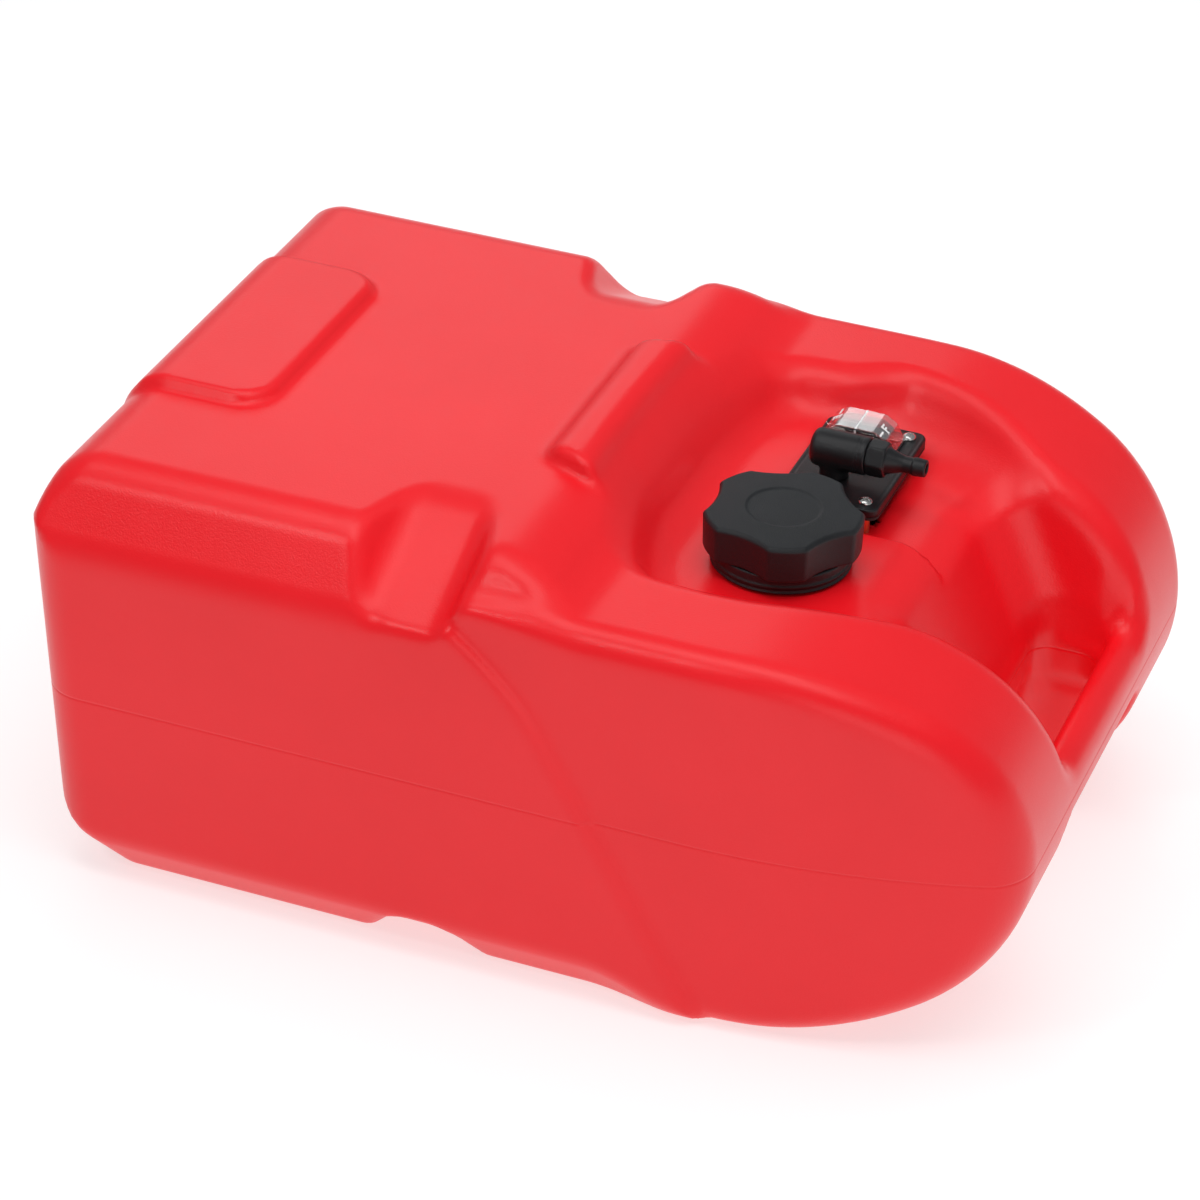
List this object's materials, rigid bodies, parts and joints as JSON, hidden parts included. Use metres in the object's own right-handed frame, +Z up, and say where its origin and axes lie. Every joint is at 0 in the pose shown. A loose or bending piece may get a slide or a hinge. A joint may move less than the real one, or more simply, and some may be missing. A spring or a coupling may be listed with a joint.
{
  "type": "outboard fuel tank",
  "caption": "Portable outboard fuel tank with a carrying bar, screw filler cap with vent, float level gauge and a hose outlet.",
  "frame": {"origin": "middle of the base, on the surface that the tank stands on", "axes": "+Z up, +X towards the carrying bar, +Y to the side of the level gauge"},
  "size_m": [0.518, 0.369, 0.24],
  "materials": {
    "red_polyethylene": "satin red blow-moulded polyethylene with a fine grain",
    "cap_plastic": "black moulded plastic, fine matt grain",
    "fitting_plastic": "black moulded plastic, slightly shiny",
    "clear_plastic": "clear moulded window",
    "white_acetal": "natural white plastic",
    "float_foam": "black closed-cell foam",
    "seal_rubber": "black fuel-proof rubber",
    "stainless_steel": "bright stainless steel",
    "spring_steel": "plain spring wire",
    "insert_brass": "turned brass"
  },
  "bodies": {
    "tank": {"tank_body": "red_polyethylene", "plate_gasket": "seal_rubber", "gauge_plate": "fitting_plastic", "plate_screws": "stainless_steel", "screw_inserts": "insert_brass", "lens_seal": "seal_rubber", "gauge_lens": "clear_plastic", "gauge_bracket": "fitting_plastic", "pivot_pin": "stainless_steel", "outlet_elbow": "fitting_plastic", "hose_barb": "fitting_plastic", "barb_seal": "seal_rubber", "pickup_tube": "white_acetal", "pickup_filter": "white_acetal", "check_spring": "spring_steel"},
    "cap_carrier": {"cap_gasket": "seal_rubber"},
    "cap": {"cap_inner": "cap_plastic", "ratchet_ring": "white_acetal", "vent_retainer": "white_acetal", "vent_spring": "spring_steel"},
    "cap_grip": {"cap_shell": "cap_plastic"},
    "vent_poppet": {"vent_valve": "white_acetal"},
    "float_swing": {"float_lever": "white_acetal", "float_arm": "stainless_steel", "float": "float_foam", "float_clips": "stainless_steel"},
    "check_poppet": {"check_ball": "stainless_steel"}
  },
  "joints": [
    {"name": "cap_lift", "type": "slide", "parent": "tank", "child": "cap_carrier", "axis": [0, 0, 1], "range_m": [0, 0.009]},
    {"name": "cap_turn", "type": "hinge", "parent": "cap_carrier", "child": "cap", "pos_m": [0.09, -0.0405, 0.209], "axis": [0, 0, 1], "range_deg": [0, 540]},
    {"name": "cap_click", "type": "hinge", "parent": "cap", "child": "cap_grip", "pos_m": [0.09, -0.0405, 0.21], "axis": [0, 0, 1], "range_deg": [-360, 0]},
    {"name": "vent_open", "type": "slide", "parent": "cap", "child": "vent_poppet", "axis": [0, 0, -1], "range_m": [0, 0.0025], "stiffness_N_per_m": 60, "springref_m": -0.002, "deforming": ["vent_spring"]},
    {"name": "gauge_swing", "type": "hinge", "parent": "tank", "child": "float_swing", "pos_m": [0.092, 0.0765, 0.176], "axis": [0, 1, 0], "range_deg": [0, 66]},
    {"name": "check_lift", "type": "slide", "parent": "tank", "child": "check_poppet", "axis": [0, 0, 1], "range_m": [0, 0.003], "stiffness_N_per_m": 40, "springref_m": -0.002, "deforming": ["check_spring"]}
  ],
  "couplings": [
    {"joint": "cap_lift", "follows": "cap_turn", "m_per_rad": 0.000954}
  ]
}
